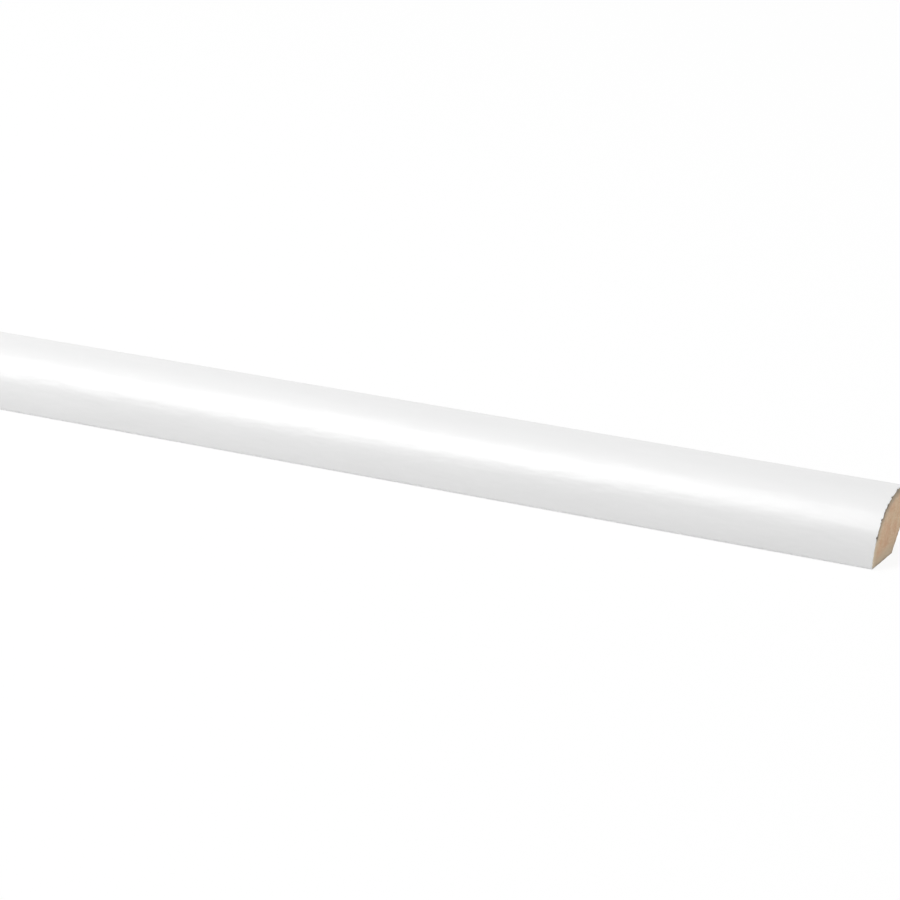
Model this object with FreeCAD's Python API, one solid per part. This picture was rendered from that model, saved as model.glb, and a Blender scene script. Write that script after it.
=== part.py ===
import FreeCAD, Part
import os

# Quarter round moulding: one straight length of trim with the same section all along.
# The round show face rises from the floor to a narrow land on top, and the flat back stands
# against the wall. A chamfer takes off the hidden corner between floor face and wall face.
# X runs along the length, the round faces -Y, the wall is at +Y, and Z is up from the floor.
# The origin is under the middle of the section, halfway along. Sizes are in millimetres.

# Driving dimensions
LENGTH = 2387.6           # the length it is sold in, 94 in
SECTION_DEPTH = 19.05     # from the foot of the round to the wall, 3/4 in
SECTION_HEIGHT = 15.875   # from the floor to the top, 5/8 in
TOP_LAND = 1.5            # flat strip on top, between the end of the round and the wall face
CORNER_RELIEF = 6.0       # both legs of the 45 degree chamfer at the hidden corner
EASED_EDGE = 0.6          # radius on the two long show edges, where the white face turns under

NODE = "quarter_round_moulding"

# Where the faces of the section lie
FRONT = -SECTION_DEPTH / 2
BACK = SECTION_DEPTH / 2
LEFT_END = -LENGTH / 2


def on_left_end(depth, height):
    """The point of the left end face at the given depth and height."""
    return FreeCAD.Vector(LEFT_END, depth, height)


def line(start, end):
    return Part.LineSegment(start, end).toShape()


def arc(centre, start, end):
    """The short arc about a centre, drawn through its two ends and its middle."""
    radius = start.distanceToPoint(centre)
    halfway = (start - centre) + (end - centre)
    middle = centre + halfway.normalize() * radius
    return Part.Arc(start, middle, end).toShape()


def round_radius():
    """Radius of the show face, which touches the eased foot and runs level into the land.

    With both circles smaller by the eased radius, the foot becomes a point that the round
    passes through, and the run and rise from that point to the land give the radius.
    """
    run = SECTION_DEPTH - TOP_LAND - EASED_EDGE
    rise = SECTION_HEIGHT - 2 * EASED_EDGE
    return (run**2 + rise**2) / (2 * rise) + EASED_EDGE


def section():
    """The flat section of the moulding, on the left end."""
    radius = round_radius()
    foot_centre = on_left_end(FRONT + EASED_EDGE, EASED_EDGE)
    round_centre = on_left_end(BACK - TOP_LAND, SECTION_HEIGHT - radius)
    edge_centre = on_left_end(BACK - EASED_EDGE, SECTION_HEIGHT - EASED_EDGE)

    floor_front = on_left_end(FRONT + EASED_EDGE, 0)
    round_foot = round_centre + (foot_centre - round_centre).normalize() * radius
    land_front = on_left_end(BACK - TOP_LAND, SECTION_HEIGHT)
    land_back = on_left_end(BACK - EASED_EDGE, SECTION_HEIGHT)
    wall_top = on_left_end(BACK, SECTION_HEIGHT - EASED_EDGE)
    wall_foot = on_left_end(BACK, CORNER_RELIEF)
    floor_back = on_left_end(BACK - CORNER_RELIEF, 0)

    outline = [
        arc(foot_centre, floor_front, round_foot),
        arc(round_centre, round_foot, land_front),
        line(land_front, land_back),
        arc(edge_centre, land_back, wall_top),
        line(wall_top, wall_foot),
        line(wall_foot, floor_back),
        line(floor_back, floor_front),
    ]
    return Part.Face(Part.Wire(outline))


def main():
    os.makedirs("parts", exist_ok=True)
    moulding = section().extrude(FreeCAD.Vector(LENGTH, 0, 0))
    moulding.exportStep(f"parts/{NODE}.step")
    print(f"{NODE}: valid {moulding.isValid()}, {len(moulding.Solids)} solid")
    print(f"radius of the round {round_radius():.3f} mm")
    print(f"section area {moulding.Volume / LENGTH:.2f} mm2, volume {moulding.Volume:.0f} mm3")


main()
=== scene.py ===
import math

import bpy
import numpy as np
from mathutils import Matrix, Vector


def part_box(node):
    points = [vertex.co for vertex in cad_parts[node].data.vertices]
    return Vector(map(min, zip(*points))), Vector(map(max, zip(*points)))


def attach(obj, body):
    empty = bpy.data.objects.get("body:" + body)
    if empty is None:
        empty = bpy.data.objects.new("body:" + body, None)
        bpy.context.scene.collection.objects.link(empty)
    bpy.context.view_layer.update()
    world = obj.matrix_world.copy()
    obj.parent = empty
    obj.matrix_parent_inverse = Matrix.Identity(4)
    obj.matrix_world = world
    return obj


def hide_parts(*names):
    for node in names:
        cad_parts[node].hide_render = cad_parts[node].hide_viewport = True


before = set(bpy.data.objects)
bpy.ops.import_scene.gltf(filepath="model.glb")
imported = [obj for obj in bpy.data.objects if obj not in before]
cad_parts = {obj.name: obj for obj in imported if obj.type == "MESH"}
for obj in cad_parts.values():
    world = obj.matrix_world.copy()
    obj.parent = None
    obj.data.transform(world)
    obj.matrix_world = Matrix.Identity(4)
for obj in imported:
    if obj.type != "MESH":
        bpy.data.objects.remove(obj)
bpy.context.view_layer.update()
mm = 0.001
cadNode = "quarter_round_moulding"


# The section that both pieces follow, in mm; its depth, height and length are those of the CAD box
section = {
    "topLand": 1.5,         # flat strip between the round and the wall face
    "cornerRelief": 6.0,    # legs of the chamfer at the hidden corner
    "easedEdge": 0.6,       # radius of the two long show edges
    "wrapThickness": 0.2,   # foil and glue together
    "floorReturn": 2.0,     # how far the wrap runs on under the foot
    "wallReturn": 4.0,      # how far it runs on down the wall face
    "slit": 0.05,           # between the wrap's cut edges and the bare faces, which lie as much lower
}
# How finely both pieces are divided
grid = {
    "floorReturn": 12, "foot": 10, "round": 200, "land": 8, "topEdge": 10, "wallReturn": 12,
    "bareWall": 12, "chamfer": 20, "bareFloor": 20,     # steps along each stretch of the outline
    "endRows": (0, 0.04, 0.1, 0.18, 0.3, 0.45),         # rows across, from an end inwards, mm
    "firstWide": 0.7, "wideRows": 18,                   # then rows in growing steps to the middle
}
boxLow, boxHigh = (np.array(corner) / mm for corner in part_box(cadNode))
halfLength = boxHigh[0]
front, back, top = boxLow[1], boxHigh[1], boxHigh[2]
eased = section["easedEdge"]

# The round touches the eased foot and runs level into the land. With both circles smaller by the eased
# radius, the foot is a point on the round, and run and rise from that point to the land give the radius
run = back - front - section["topLand"] - eased
rise = top - 2 * eased
roundRadius = (run**2 + rise**2) / (2 * rise) + eased
roundCentre = np.array([back - section["topLand"], top - roundRadius])
footCentre = np.array([front + eased, eased])
edgeCentre = np.array([back - eased, top - eased])
footAngle = math.atan2(*(footCentre - roundCentre)[::-1])
wrapFloorEnd = front + eased + section["floorReturn"]    # depth at which the wrap ends under the foot
wrapWallEnd = top - eased - section["wallReturn"]        # height at which it ends on the wall face
print(f"section: round of radius {roundRadius:.2f} mm")


# start plus t times the way to end, for evenly spaced t, without the last point
def straightRun(start, end, count):
    t = np.linspace(0, 1, count, endpoint=False)[:, None]
    return np.array(start) * (1 - t) + np.array(end) * t


# centre plus radius times (cos, sin) of evenly spaced angles, without the last point
def arcRun(centre, radius, startAngle, endAngle, count):
    angle = np.linspace(startAngle, endAngle, count, endpoint=False)
    return centre + radius * np.column_stack([np.cos(angle), np.sin(angle)])


# The wrapped part of the outline, moved in by inset: straight under the foot, round the eased foot,
# up the show face, along the land, round the top edge and down the wall face
def wrappedRun(inset):
    landFront, landBack = back - section["topLand"], back - eased
    wallEnd = [back - inset, wrapWallEnd]
    return np.concatenate([
        straightRun([wrapFloorEnd, inset], [front + eased, inset], grid["floorReturn"]),
        arcRun(footCentre, eased - inset, -math.pi / 2, footAngle - 2 * math.pi, grid["foot"]),
        arcRun(roundCentre, roundRadius - inset, footAngle, math.pi / 2, grid["round"]),
        straightRun([landFront, top - inset], [landBack, top - inset], grid["land"]),
        arcRun(edgeCentre, eased - inset, math.pi / 2, 0, grid["topEdge"]),
        straightRun([back - inset, top - eased], wallEnd, grid["wallReturn"]),
        [wallEnd],
    ])


# The bare part of the outline, moved in by the slit: down the wall face, along the chamfer and back
# along the floor
def bareRun():
    relief, slit = section["cornerRelief"], section["slit"]
    shift = slit * (math.sqrt(2) - 1)      # how far a chamfer corner slides along its face
    wallTop = [back - slit, wrapWallEnd - slit]
    wallFoot = [back - slit, relief + shift]
    floorBack = [back - relief - shift, slit]
    floorFront = [wrapFloorEnd + slit, slit]
    return np.concatenate([
        straightRun(wallTop, wallFoot, grid["bareWall"]),
        straightRun(wallFoot, floorBack, grid["chamfer"]),
        straightRun(floorBack, floorFront, grid["bareFloor"]),
        [floorFront],
    ])


# A closed outline carried along the length. A row stands at its distance from the end, set back further by
# the saw cut's setback times exp(-distance / fade). Gives points, their numbers row by row, and side faces
def carriedOutline(outline, nearSetback, farSetback, fade):
    wide = np.geomspace(grid["firstWide"], halfLength, grid["wideRows"])
    distance = np.concatenate([grid["endRows"], wide])[:, None]
    share = np.exp(-distance / fade)
    nearRows = halfLength - distance - share * nearSetback
    farRows = -halfLength + distance + share * farSetback
    rows = np.concatenate([farRows[:-1], nearRows[::-1]])
    points = np.empty((*rows.shape, 3))
    points[..., 0] = rows
    points[..., 1:] = outline
    index = np.arange(rows.size).reshape(rows.shape)
    beside = np.roll(index, -1, axis=1)
    sides = np.stack([index[:-1], index[1:], beside[1:], beside[:-1]], -1)
    return points.reshape(-1, 3), index, sides.reshape(-1, 4)


# Smooth random waves of about the given length: a sum of sines with seeded directions, lengths and phases,
# scaled to a spread of about 1
def waves(a, b, length, seed, count=14):
    shortest, longest = 0.6, 1.6      # of the given length
    rng = np.random.default_rng(seed)
    turn = rng.uniform(0, 2 * np.pi, count)
    pace = 2 * np.pi / (length * rng.uniform(shortest, longest, count))
    phase = rng.uniform(0, 2 * np.pi, count)
    shape = (-1,) + (1,) * np.ndim(a)
    turn, pace, phase = (v.reshape(shape) for v in (turn, pace, phase))
    return np.sin(pace * (a * np.cos(turn) + b * np.sin(turn)) + phase).mean(0) * math.sqrt(2 * count)


# A mesh object from points in mm, smooth but for edges that bend by more than sharpAngle, in degrees
def meshObject(name, points, faces, materials, faceMaterial=None, sharpAngle=35):
    mesh = bpy.data.meshes.new(name)
    mesh.from_pydata((points * mm).tolist(), [], faces)
    for material in materials:
        mesh.materials.append(material)
    if faceMaterial is not None:
        mesh.polygons.foreach_set("material_index", faceMaterial)
    mesh.polygons.foreach_set("use_smooth", np.ones(len(mesh.polygons), bool))
    mesh.set_sharp_from_angle(angle=math.radians(sharpAngle))
    mesh.update()
    piece = bpy.data.objects.new(name, mesh)
    bpy.context.collection.objects.link(piece)
    print(f"{name}: {len(points)} points, {len(faces)} faces")
    return piece


# The sRGB curve undone: a straight piece near black, and a power of 2.4 above it
def linearColour(hexColour):
    channels = np.array([int(hexColour[i:i + 2], 16) for i in (1, 3, 5)]) / 255
    linear = np.where(channels <= 0.04045, channels / 12.92, ((channels + 0.055) / 1.055) ** 2.4)
    return (*linear.tolist(), 1.0)


# Adds a node and gives one of its outputs. Another node's output among the settings is linked, and the rest
# go to the socket of that name or number, or else to the node's own field
def addNode(tree, kind, settings, output=0):
    added = tree.nodes.new(kind)
    for name, value in settings.items():
        if isinstance(value, bpy.types.NodeSocket):
            tree.links.new(value, added.inputs[name])
        elif isinstance(name, int) or name in added.inputs:
            added.inputs[name].default_value = value
        else:
            setattr(added, name, value)
    return added.outputs[output] if added.outputs else None


def newMaterial(name):
    material = bpy.data.materials.new(name)
    material.use_nodes = True
    material.node_tree.nodes.clear()
    return material, material.node_tree


# A cloudy pattern from 0 to 1 whose cells have the given size in mm, along X, Y and Z or all alike
def cellPattern(tree, place, size, turn=0.0):
    cells = addNode(tree, "ShaderNodeMapping", {
        "vector_type": "TEXTURE", "Vector": place, "Rotation": (turn, 0, 0),
        "Scale": tuple(np.broadcast_to(size, 3) * mm)})     # this kind divides by its scale
    noise = addNode(tree, "ShaderNodeTexNoise", {
        "Vector": cells, "Scale": 1.0, "Detail": 2.0, "Roughness": 0.6})
    return addNode(tree, "ShaderNodeMapRange", {
        "Value": noise, "From Min": 0.3, "From Max": 0.7})     # where nearly all of the noise lies


# Lays a colour over another: none where a pattern is at start, and up to the given share where it is at full
def layColour(tree, under, hexColour, pattern, start, full, share):
    cover = addNode(tree, "ShaderNodeMapRange", {
        "Value": pattern, "From Min": start, "From Max": full, "To Max": share})
    return addNode(tree, "ShaderNodeMix", {
        "data_type": "RGBA", 0: cover, 6: under, 7: linearColour(hexColour)}, 2)


# Satin white foil, calendered smooth and wrapped on by rollers: an even white with faint clouds in the print
# and a soft sheen, which has a fine grain and a shallow peel that only the highlight shows
def satinFoil():
    look = {
        "white": "#E1E1E1", "cloudWhite": "#E3E3E3",
        "cloud": (38, 6, 6),              # mm
        "roughness": (0.338, 0.364),      # smoothest and roughest of the grain
        "grain": 0.3,                     # mm, and so are the rest
        "peel": (12, 4, 4),
        "peelDepth": 0.06,
    }
    material, tree = newMaterial("satinWhiteFoil")
    place = addNode(tree, "ShaderNodeTexCoord", {}, "Object")
    cloud = cellPattern(tree, place, look["cloud"])
    white = layColour(tree, linearColour(look["white"]), look["cloudWhite"], cloud, 0, 1, 1)
    grain = cellPattern(tree, place, look["grain"])
    smoothest, roughest = look["roughness"]
    roughness = addNode(tree, "ShaderNodeMapRange", {
        "Value": grain, "To Min": smoothest, "To Max": roughest})
    peeled = addNode(tree, "ShaderNodeBump", {
        "Height": cellPattern(tree, place, look["peel"]), "Distance": look["peelDepth"] * mm})
    shader = addNode(tree, "ShaderNodeBsdfPrincipled", {
        "Base Color": white, "Roughness": roughness, "Normal": peeled, "IOR": 1.5})
    addNode(tree, "ShaderNodeOutputMaterial", {"Surface": shader})
    return material


# Medium density fibreboard, pressed from fine softwood fibre. A cover says where in its pattern a colour
# starts, where it is full, and how much of it there is then
fibreboard = {
    "mid": "#C8AA8B",
    "pale": "#D8C1A4", "paleCover": (0.1, 0.9, 1.0),
    "ruddy": "#C6977A", "ruddyCover": (0.4, 0.9, 0.5),
    "dark": "#92765C", "strandCover": (0.5, 1.0, 0.35), "speckCover": (0.93, 1.0, 0.7),
    "bundle": (1.1, 1.1, 0.22),       # pale bundles of fibre lie flat in the panel; mm, coarser than real
    "strand": (0.45, 0.45, 0.09),     # dark strands likewise
    "cloud": (5.0, 4.0, 3.0),         # ruddy clouds, mm
    "speck": 0.3,                     # dark bark specks, mm
    "hard": "#80705F",                # the hard layers near both panel faces
    "hardFrom": (-0.5, 0.25),         # where their colour starts and is full, outwards from the face, mm
    "hardWander": 0.5,                # brought inwards by up to this where bundles lie, mm
    "glue": "#4C4740",                # glue soaked into the fibre under the wrap
}


# The felt of fibre that every cut through the board shows: pale bundles, darker strands, ruddy clouds and a
# few dark specks, hard and dark in streaks near both panel faces
def feltColour(tree, place, strand, hardShare):
    look = fibreboard
    bundle = cellPattern(tree, place, look["bundle"])
    cloud = cellPattern(tree, place, look["cloud"])
    speck = cellPattern(tree, place, look["speck"])
    felt = layColour(tree, linearColour(look["mid"]), look["pale"], bundle, *look["paleCover"])
    felt = layColour(tree, felt, look["ruddy"], cloud, *look["ruddyCover"])
    felt = layColour(tree, felt, look["dark"], strand, *look["strandCover"])
    felt = layColour(tree, felt, look["dark"], speck, *look["speckCover"])
    height = addNode(tree, "ShaderNodeSeparateXYZ", {"Vector": place}, "Z")
    fromMiddle = addNode(tree, "ShaderNodeMath", {"operation": "SUBTRACT", 0: height, 1: top / 2 * mm})
    offMiddle = addNode(tree, "ShaderNodeMath", {"operation": "ABSOLUTE", 0: fromMiddle})
    streaked = addNode(tree, "ShaderNodeMath", {
        "operation": "MULTIPLY_ADD", 0: bundle, 1: look["hardWander"] * mm, 2: offMiddle})
    start, full = ((top / 2 + outwards) * mm for outwards in look["hardFrom"])
    return layColour(tree, felt, look["hard"], streaked, start, full, hardShare)


# How far a point lies inside the core's round, in metres
def insideRound(tree, place):
    aboutAxis = addNode(tree, "ShaderNodeMapping", {
        "Vector": place, "Location": (0, *(-roundCentre * mm)), "Scale": (0, 1, 1)})
    fromAxis = addNode(tree, "ShaderNodeVectorMath", {"operation": "LENGTH", 0: aboutAxis}, "Value")
    return addNode(tree, "ShaderNodeMath", {
        "operation": "SUBTRACT", 0: (roundRadius - section["wrapThickness"]) * mm, 1: fromAxis})


# Sawn end: a dry matt felt of cut fibre with slanting saw streaks. The saw bruised the glue under the upper
# part of the wrap into a dark line, widest at the top, and left a pale rim below
def sawnFibreboard():
    look = {
        "hardShare": 0.9,
        "sawStreak": (1.0, 7.0, 0.5),     # a streak of the saw, mm
        "sawTurn": math.radians(60),      # leaning towards the wall
        "streakRuddy": (0.5, 1.0, 0.4),   # covers of its two colours
        "streakPale": (0.4, 0.0, 0.4),
        "glueFrom": (6.0, 6.8),           # the line grows to full strength between these heights, mm
        "glueWidth": (1.5, 2.7),          # its width at the lower end and at the top, mm
        "glueWave": 1.3,                  # its edge wanders over this length, mm
        "glueWander": 0.55,               # by so much, mm
        "glueFade": 1.2,                  # darkest at the wrap, then thinning out into the board
        "gluePatch": 2.2,                 # and weaker or stronger in patches of this length, mm
        "patchStrength": (0.4, 1.15),
        "glueShare": 0.95,
        "stain": "#C3B6A0",               # the board is greyer where damp from the glue has reached,
        "stainWidth": 3.0,                # mm
        "stainShare": 0.85,
        "dampFoot": (3.6, 1.4),           # and down at the foot, from none to full between these heights, mm
        "dampShare": 0.6,
        "paleRim": "#D8CCB8",
        "paleRimWidth": 1.0,              # mm
        "paleRimFade": 1.0,               # it fades over this height from the lower end of the glue line, mm
        "paleRimCover": (0.0, 0.6, 0.9),
        "edgeShade": "#7D6E62",              # painted shade: darker along the floor edge, where the piece meets the floor, and along the chamfer
        "edgeShadeWidth": 1.3,               # mm
        "edgeShadeWave": 1.6,                # mm
        "edgeShadeShare": 0.8,
        "fuzz": 0.06,                     # mm
        "roughness": 0.9,
    }
    material, tree = newMaterial("sawnFibreboard")
    place = addNode(tree, "ShaderNodeTexCoord", {}, "Object")
    height = addNode(tree, "ShaderNodeSeparateXYZ", {"Vector": place}, "Z")
    strand = cellPattern(tree, place, fibreboard["strand"])
    streak = cellPattern(tree, place, look["sawStreak"], look["sawTurn"])
    colour = feltColour(tree, place, strand, look["hardShare"])
    colour = layColour(tree, colour, fibreboard["ruddy"], streak, *look["streakRuddy"])
    colour = layColour(tree, colour, fibreboard["pale"], streak, *look["streakPale"])

    # how far inside the wrap a point lies, made uneven
    inside = addNode(tree, "ShaderNodeMath", {
        "operation": "MULTIPLY_ADD", 0: cellPattern(tree, place, look["glueWave"]),
        1: look["glueWander"] * mm, 2: insideRound(tree, place)})
    colour = layColour(tree, colour, look["stain"], inside, look["stainWidth"] * mm, 0, look["stainShare"])
    dampTop, dampLow = (z * mm for z in look["dampFoot"])
    colour = layColour(tree, colour, look["stain"], height, dampTop, dampLow, look["dampShare"])

    # pale rim, below the glue line
    glueFoot, glueFull = (z * mm for z in look["glueFrom"])
    lowPart = addNode(tree, "ShaderNodeMapRange", {
        "Value": height, "From Min": glueFoot + look["paleRimFade"] * mm, "From Max": glueFoot})
    rimDepth = addNode(tree, "ShaderNodeMapRange", {
        "Value": inside, "From Min": look["paleRimWidth"] * mm, "From Max": 0})
    rim = addNode(tree, "ShaderNodeMath", {"operation": "MULTIPLY", 0: rimDepth, 1: lowPart})
    colour = layColour(tree, colour, look["paleRim"], rim, *look["paleRimCover"])

    # glue line: 1 at the wrap, falling to 0 over its width, times its strength at that height and patch
    narrow, wide = (width * mm for width in look["glueWidth"])
    width = addNode(tree, "ShaderNodeMapRange", {
        "Value": height, "From Min": glueFoot, "From Max": top * mm, "To Min": narrow, "To Max": wide})
    share = addNode(tree, "ShaderNodeMath", {"operation": "DIVIDE", 0: inside, 1: width})
    depth = addNode(tree, "ShaderNodeMapRange", {"Value": share, "From Min": 1.0, "From Max": 0.0})
    line = addNode(tree, "ShaderNodeMath", {"operation": "POWER", 0: depth, 1: look["glueFade"]})
    strength = addNode(tree, "ShaderNodeMapRange", {
        "Value": height, "From Min": glueFoot, "From Max": glueFull})
    glue = addNode(tree, "ShaderNodeMath", {"operation": "MULTIPLY", 0: line, 1: strength})
    weakest, strongest = look["patchStrength"]
    patch = addNode(tree, "ShaderNodeMapRange", {
        "Value": cellPattern(tree, place, look["gluePatch"]), "To Min": weakest, "To Max": strongest})
    patched = addNode(tree, "ShaderNodeMath", {"operation": "MULTIPLY", 0: glue, 1: patch})
    colour = layColour(tree, colour, fibreboard["glue"], patched, 0, 1, look["glueShare"])

    # how far a point lies above the floor face or the chamfer, whichever is nearer, made uneven
    slope = math.sqrt(0.5)
    acrossChamfer = addNode(tree, "ShaderNodeVectorMath", {
        "operation": "DOT_PRODUCT", 0: place, 1: (0, -slope, slope)}, "Value")
    aboveChamfer = addNode(tree, "ShaderNodeMath", {
        "operation": "ADD", 0: acrossChamfer, 1: (back - section["cornerRelief"]) * slope * mm})
    nearer = addNode(tree, "ShaderNodeMath", {"operation": "MINIMUM", 0: height, 1: aboveChamfer})
    uneven = addNode(tree, "ShaderNodeMath", {
        "operation": "MULTIPLY_ADD", 0: cellPattern(tree, place, look["edgeShadeWave"]),
        1: look["edgeShadeWidth"] * mm, 2: nearer})
    # painted shade: a dark band along the floor edge and the chamfer
    colour = layColour(tree, colour, look["edgeShade"], uneven,
                       look["edgeShadeWidth"] * mm, 0, look["edgeShadeShare"])

    fuzzy = addNode(tree, "ShaderNodeBump", {"Height": strand, "Distance": look["fuzz"] * mm})
    shader = addNode(tree, "ShaderNodeBsdfPrincipled", {
        "Base Color": colour, "Normal": fuzzy, "Roughness": look["roughness"], "IOR": 1.5})
    addNode(tree, "ShaderNodeOutputMaterial", {"Surface": shader})
    return material


# Planed long faces: the same felt, faintly combed along the length, with a ripple from the turning knives
# and an amber line of glue squeezed out along both edges of the wrap. Glue darkens the round under the wrap,
# and shows where the wrap is chipped
def planedFibreboard():
    look = {
        "hardShare": 0.3,
        "comb": (15, 0.4, 0.4),           # a combed streak, mm
        "combDark": (0.5, 1.0, 0.15),     # covers of its two colours
        "combPale": (0.45, 0.0, 0.15),
        "glueSkin": (0.1, 0.05),          # from none to full between these depths inside the wrap, mm
        "glueShare": 0.85,
        "seam": "#A58A5E",
        "seamWidth": (0.7, 0.42),         # from none to full between these distances from the wrap, mm
        "seamWave": (9, 2, 2),            # mm
        "seamWander": 0.7,                # mm
        "seamShare": 0.6,
        "ripple": 1.8,                    # one knife mark to the next, mm
        "rippleDepth": 0.006,             # mm
        "fuzz": 0.025,                    # mm
        "roughness": 0.75,
    }
    material, tree = newMaterial("planedFibreboard")
    place = addNode(tree, "ShaderNodeTexCoord", {}, "Object")
    strand = cellPattern(tree, place, fibreboard["strand"])
    comb = cellPattern(tree, place, look["comb"])
    colour = feltColour(tree, place, strand, look["hardShare"])
    colour = layColour(tree, colour, fibreboard["dark"], comb, *look["combDark"])
    colour = layColour(tree, colour, fibreboard["pale"], comb, *look["combPale"])

    # seams: how far a point lies below the wrap's edge on the wall, and behind its edge on the floor
    wave = cellPattern(tree, place, look["seamWave"])
    seamStart, seamFull = (width * mm for width in look["seamWidth"])
    for axis, edge, away in (("Z", wrapWallEnd, -1), ("Y", wrapFloorEnd, 1)):
        along = addNode(tree, "ShaderNodeSeparateXYZ", {"Vector": place}, axis)
        beyond = addNode(tree, "ShaderNodeMath", {
            "operation": "MULTIPLY_ADD", 0: along, 1: away, 2: -away * edge * mm})
        uneven = addNode(tree, "ShaderNodeMath", {
            "operation": "MULTIPLY_ADD", 0: wave, 1: look["seamWander"] * mm, 2: beyond})
        colour = layColour(tree, colour, look["seam"], uneven, seamStart, seamFull, look["seamShare"])

    # glue on the round
    skinStart, skinFull = (depth * mm for depth in look["glueSkin"])
    colour = layColour(tree, colour, fibreboard["glue"], insideRound(tree, place),
                       skinStart, skinFull, look["glueShare"])

    knives = addNode(tree, "ShaderNodeTexWave", {
        "Vector": place, "wave_type": "BANDS", "bands_direction": "X", "Distortion": 0.0,
        "Scale": math.pi / 10 / (look["ripple"] * mm)}, "Fac")     # a band is pi / 10 long at scale 1
    rippled = addNode(tree, "ShaderNodeBump", {"Height": knives, "Distance": look["rippleDepth"] * mm})
    fuzzy = addNode(tree, "ShaderNodeBump", {
        "Height": strand, "Distance": look["fuzz"] * mm, "Normal": rippled})
    shader = addNode(tree, "ShaderNodeBsdfPrincipled", {
        "Base Color": colour, "Normal": fuzzy, "Roughness": look["roughness"], "IOR": 1.5})
    addNode(tree, "ShaderNodeOutputMaterial", {"Surface": shader})
    return material


foil = satinFoil()
sawnEnd = sawnFibreboard()
planedFace = planedFibreboard()
print("materials made")


# White wrap: a thin closed skin whose outside is the CAD outline, chipped where the saw left it
wrap = {
    "raggedness": 0.05,         # mean setback of the cut edge, mm
    "raggedLength": 0.5,        # of its small waves, mm
    "chips": 16,                # bites at each end
    "chipWidth": (0.3, 0.9),    # mm
    "chipDepth": (0.05, 0.38),  # mm
    "lowestChip": 6.5,          # chips have their middles above this height, mm
    "wallChip": 0.5,            # and at least so far from the wall face, mm
    "cutFade": 0.8,             # the cut's unevenness dies out along the piece over this length, mm
    "seeds": (5, 8),            # near end and far end
}


# How far the cut edge is set back at each point of the run: small waves plus half-round bites
def cutSetback(runPoints, seed):
    rng = np.random.default_rng(seed)
    step = np.hypot(*np.diff(runPoints, axis=0).T)
    along = np.concatenate([[0], np.cumsum(step)])
    ragged = wrap["raggedness"] * (1 + waves(along, 0 * along, wrap["raggedLength"], seed)).clip(0, 2)
    chipped = (runPoints[:, 1] > wrap["lowestChip"]) & (runPoints[:, 0] < back - wrap["wallChip"])
    lowest, highest = along[chipped][[0, -1]]
    centres = np.sort(rng.uniform(lowest, highest, wrap["chips"]))[:, None]
    widths = rng.uniform(*wrap["chipWidth"], wrap["chips"])[:, None]
    depths = rng.uniform(*wrap["chipDepth"], wrap["chips"])[:, None]
    bites = depths * np.sqrt(np.clip(1 - ((along - centres) / (widths / 2)) ** 2, 0, 1))
    setback = ragged + bites.max(0)
    return setback - setback.min()


# The outside and inside of the skin as one outline, carried along, with a strip across each cut end
def whiteWrap():
    outer = wrappedRun(0)
    inner = wrappedRun(section["wrapThickness"])
    setbacks = [cutSetback(outer, seed) for seed in wrap["seeds"]]
    near, far = (np.concatenate([setback, setback[::-1]]) for setback in setbacks)
    points, index, sides = carriedOutline(np.concatenate([outer, inner[::-1]]), near, far, wrap["cutFade"])
    count = len(outer)
    facing = 2 * count - 1 - np.arange(count)      # the inner point behind each outer point
    strip = np.stack([np.arange(count - 1), facing[:-1], facing[1:], np.arange(1, count)], -1)
    faces = np.concatenate([sides, index[0][strip[:, ::-1]], index[-1][strip]])
    return meshObject("white_wrap", points, faces.tolist(), [foil])


# Fibreboard core: the outline moved in by the wrap's thickness where it is wrapped, with sawn ends
core = {
    "sawPitch": 0.8,                # one saw mark to the next, mm
    "sawLean": math.radians(30),    # marks lean towards the wall
    "sawWander": 4.0,               # and wander over this length, mm
    "sawDepth": 0.03,               # mm
    "fuzzLength": 0.6,              # torn fibre on the sawn face, mm
    "fuzzDepth": 0.04,              # mm
    "cutFade": 0.5,                 # the relief dies out along the piece over this length, mm
    "middle": (2.0, 7.0),           # depth and height of the point that the rings close in on, mm
    "rings": 56,
    "ringGrowth": 1.3,              # over 1, steps from ring to ring grow towards the middle
    "seeds": (21, 31),              # near end and far end
    "bakeMargin": 0.01,             # bare strip round each part of the bake's map, as a share of its width
}


# How far the sawn face lies back at depth y and height z: slanting saw marks plus torn fibre
def sawnRelief(y, z, seed):
    slant = y * math.cos(core["sawLean"]) - z * math.sin(core["sawLean"])
    wander = waves(y, z, core["sawWander"], seed)
    marks = 0.5 + 0.5 * np.sin(2 * np.pi * slant / core["sawPitch"] + wander)
    fuzz = np.abs(waves(y, z, core["fuzzLength"], seed + 1))
    return core["sawDepth"] * marks + core["fuzzDepth"] * fuzz
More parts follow.
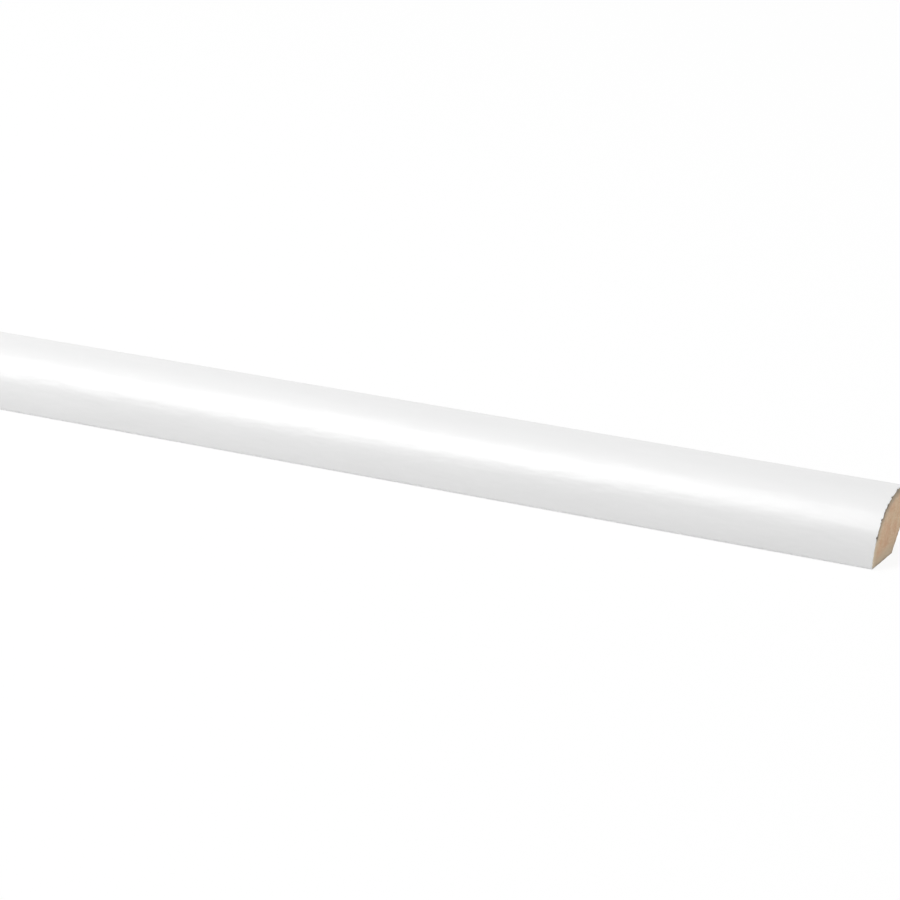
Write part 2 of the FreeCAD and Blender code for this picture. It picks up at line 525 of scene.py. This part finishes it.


# A map to bake the materials through. On one to scale an end would be a few pixels wide, so both ends take
# the lower half, side by side, with u from depth and v from height. The upper half takes the corners of the
# side faces, with u along the length and v round the outline
def layBakeMap(mesh, outline, sideCorners):
    margin = core["bakeMargin"]
    half, whole = 0.5 - 2 * margin, 1 - 2 * margin      # clear widths of half the map and of all of it
    corners = np.empty(len(mesh.loops), int)
    mesh.loops.foreach_get("vertex_index", corners)
    place = np.empty(3 * len(mesh.vertices))
    mesh.vertices.foreach_get("co", place)
    x, y, z = place.reshape(-1, 3)[corners].T / mm
    u = margin + half * (y - front) / (back - front) + 0.5 * (x > 0)
    v = margin + half * z / (back - front)
    step = np.hypot(*(np.roll(outline, -1, axis=0) - outline).T)
    reached = np.concatenate([[0], np.cumsum(step)]) / step.sum()
    ofQuad = np.stack([reached[:-1], reached[:-1], reached[1:], reached[1:]], -1).ravel()
    u[:sideCorners] = margin + whole * (x[:sideCorners] / halfLength + 1) / 2
    v[:sideCorners] = 0.5 + margin + half * np.resize(ofQuad, sideCorners)
    bakeMap = mesh.uv_layers.new(name="OFBake")     # the name of the map to bake through
    bakeMap.uv.foreach_set("vector", np.column_stack([u, v]).ravel())


# The outline carried along, and each end filled by rings, which are the outline drawn in towards the middle
# by 1 - t ** growth for even steps of t, and closed by a last point
def fibreboardCore():
    outline = np.concatenate([wrappedRun(section["wrapThickness"]), bareRun()])
    near, far = (sawnRelief(*outline.T, seed) for seed in core["seeds"])
    sidePoints, index, sides = carriedOutline(outline, near, far, core["cutFade"])
    count = len(outline)
    middle = np.array(core["middle"])
    share = 1 - np.linspace(0, 1, core["rings"] + 1)[1:-1] ** core["ringGrowth"]
    rings = middle + share[:, None, None] * (outline - middle)
    flat = np.concatenate([rings.reshape(-1, 2), [middle]])
    points, endFaces, used = [sidePoints], [], len(sidePoints)
    for sign, rim, seed in zip((1, -1), (index[-1], index[0]), core["seeds"]):
        x = sign * (halfLength - sawnRelief(*flat.T, seed))
        points.append(np.column_stack([x, flat]))
        ring = np.concatenate([rim[None], used + np.arange(len(flat) - 1).reshape(-1, count)])
        beside = np.roll(ring, -1, axis=1)
        quads = np.stack([ring[:-1], ring[1:], beside[1:], beside[:-1]], -1).reshape(-1, 4)
        lastPoint = np.full(count, used + len(flat) - 1)
        fan = np.stack([ring[-1], lastPoint, beside[-1]], -1)
        endFaces += quads[:, ::sign].tolist() + fan[:, ::sign].tolist()
        used += len(flat)
    faceMaterial = np.concatenate([np.ones(len(sides), int), np.zeros(len(endFaces), int)])
    piece = meshObject("fibreboard_core", np.concatenate(points), sides.tolist() + endFaces,
                       [sawnEnd, planedFace], faceMaterial)
    layBakeMap(piece.data, outline, sides.size)
    return piece


wrapPiece = whiteWrap()
corePiece = fibreboardCore()
for piece, slotName in ((wrapPiece, "white_wrap"), (corePiece, "raw_mdf")):
    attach(piece, "root")
    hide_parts(cadNode)


# Studio: a pale floor and light from all round. Large panels far off light the whole length alike, one high
# on the left, a dim one overhead and one on the right for the sawn end. A small softbox lifts the near half
studio = {
    "floorSize": 60.0,            # m
    "floorGap": 0.05,             # mm under the piece
    "floorGrey": "#F8F8F8",
    "floorGlow": 0.9,             # share of the floor that the camera sees as plain white
    "surround": 0.29,             # light from all round
}
# Place and size in m, tilt and turn in degrees, and how many times as bright as white paper
lamps = {
    "softbox": {"place": (0.45, -0.468, 1.2), "tilt": 21.3, "turn": 0, "size": (0.6, 0.6), "bright": 6.0},
    "leftPanel": {"place": (-10.3, -5.8, 17.0), "tilt": 18.8, "turn": 0, "size": (8.7, 12.2), "bright": 6.3},
    "overhead": {"place": (-6.9, 4.1, 17.5), "tilt": -13.1, "turn": 0, "size": (15.6, 8.4), "bright": 0.9},
    "rightPanel": {"place": (17.8, 1.5, 8.1), "tilt": 64, "turn": 95.2, "size": (11.4, 11.4), "bright": 3.4},
}


# 1 where a ray comes from the camera, a reflection or glass, and 0 for light on its way to a surface
def seenDirectly(tree):
    seen = addNode(tree, "ShaderNodeLightPath", {}, "Is Camera Ray")
    rays = seen.node.outputs
    for also in ("Is Glossy Ray", "Is Transmission Ray"):
        seen = addNode(tree, "ShaderNodeMath", {"operation": "MAXIMUM", 0: seen, 1: rays[also]})
    return seen


def paleFloor():
    material, tree = newMaterial("paleFloor")
    share = addNode(tree, "ShaderNodeMath", {
        "operation": "MULTIPLY", 0: seenDirectly(tree), 1: studio["floorGlow"]})
    matt = addNode(tree, "ShaderNodeBsdfDiffuse", {"Color": linearColour(studio["floorGrey"])})
    glow = addNode(tree, "ShaderNodeEmission", {"Color": (1, 1, 1, 1), "Strength": 1.0})
    mixed = addNode(tree, "ShaderNodeMixShader", {0: share, 1: matt, 2: glow})
    addNode(tree, "ShaderNodeOutputMaterial", {"Surface": mixed})
    half = studio["floorSize"] / 2
    corners = [(x, y, -studio["floorGap"] * mm) for x, y in
               ((-half, -half), (half, -half), (half, half), (-half, half))]
    mesh = bpy.data.meshes.new("floor")
    mesh.from_pydata(corners, [], [(0, 1, 2, 3)])
    mesh.materials.append(material)
    floor = bpy.data.objects.new("floor", mesh)
    bpy.context.collection.objects.link(floor)


def surroundLight():
    world = bpy.data.worlds.new("surround")
    bpy.context.scene.world = world
    world.use_nodes = True
    tree = world.node_tree
    tree.nodes.clear()
    strength = addNode(tree, "ShaderNodeMapRange", {
        "Value": seenDirectly(tree), "To Min": studio["surround"], "To Max": 1.0})
    light = addNode(tree, "ShaderNodeBackground", {"Color": (1, 1, 1, 1), "Strength": strength})
    addNode(tree, "ShaderNodeOutputWorld", {"Surface": light})


# Lambert's law turns the wanted brightness into watts: pi times brightness times area
def areaLamps():
    for name, lamp in lamps.items():
        data = bpy.data.lights.new(name, "AREA")
        data.shape = "RECTANGLE"
        data.size, data.size_y = lamp["size"]
        data.energy = math.pi * lamp["bright"] * data.size * data.size_y
        placed = bpy.data.objects.new(name, data)
        placed.location = lamp["place"]
        placed.rotation_euler = (math.radians(lamp["tilt"]), 0, math.radians(lamp["turn"]))
        placed.visible_camera = False
        bpy.context.collection.objects.link(placed)


def photoCamera():
    view = {
        "lens": 124.93, "sensor": 36,               # mm
        "place": (1.43978, -0.66650, 0.26640),      # m
        "tilt": 71.215, "turn": 28.752,             # degrees
        "nearest": 0.01,                            # m
    }
    data = bpy.data.cameras.new("camera")
    data.sensor_width = view["sensor"]
    data.lens = view["lens"]
    data.clip_start = view["nearest"]
    camera = bpy.data.objects.new("camera", data)
    camera.location = view["place"]
    camera.rotation_euler = (math.radians(view["tilt"]), 0, math.radians(view["turn"]))
    bpy.context.collection.objects.link(camera)
    bpy.context.scene.camera = camera


paleFloor()
surroundLight()
areaLamps()
photoCamera()
bpy.context.scene.view_settings.view_transform = "Standard"
print("studio and camera set")
